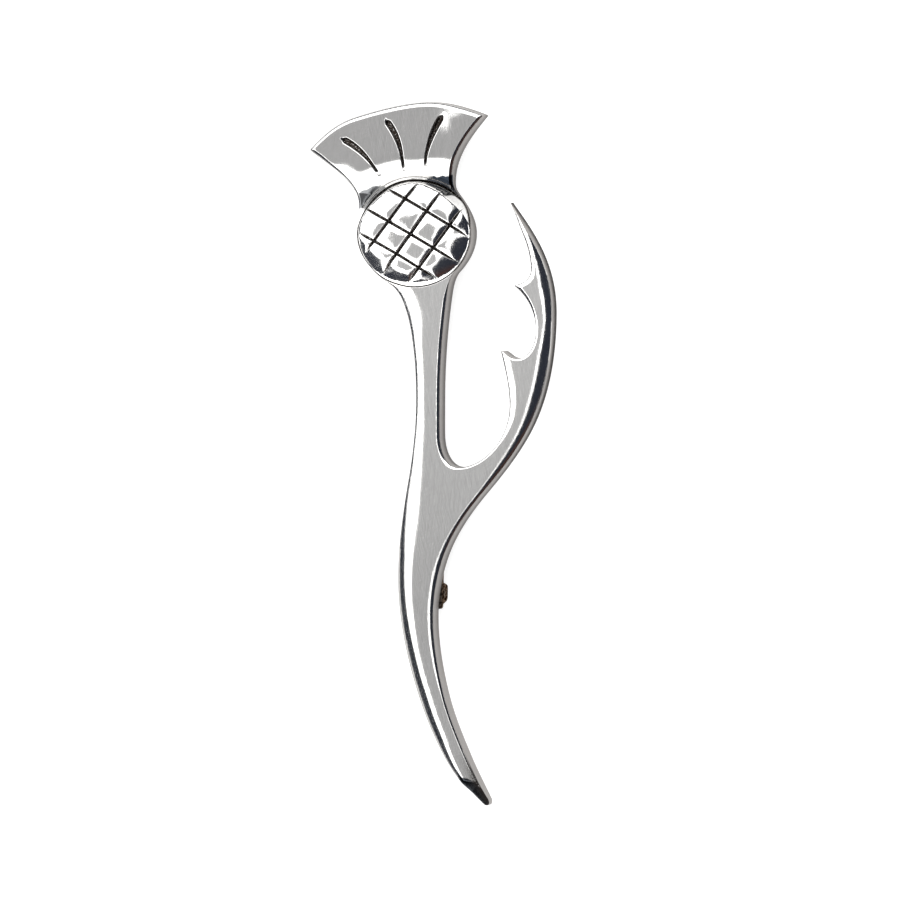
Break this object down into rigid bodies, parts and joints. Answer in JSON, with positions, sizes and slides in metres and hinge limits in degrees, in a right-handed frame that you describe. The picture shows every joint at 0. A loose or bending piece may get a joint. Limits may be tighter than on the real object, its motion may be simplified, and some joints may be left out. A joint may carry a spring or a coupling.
{
  "type": "thistle kilt pin",
  "caption": "Flat polished metal brooch: a thistle head with cross-hatched bulb on a long curved stem with a thorned leaf branch, and a plain pin and catch on its back.",
  "frame": {"origin": "on the surface that the pin lies on, under the middle of its box", "axes": "+Y along the pin towards the flower tuft, +X across it towards the leaf, +Z out of its face"},
  "size_m": [0.0308, 0.0858, 0.0065],
  "materials": {
    "polished_pewter": "hand polished pewter with fine satin scratches and dark, oxidised grooves",
    "aged_nickel_steel": "nickel-plated steel, dull and slightly brown with age"
  },
  "bodies": {
    "root": {"thistle_casting": "polished_pewter", "pin_fitting": "aged_nickel_steel"}
  },
  "joints": []
}
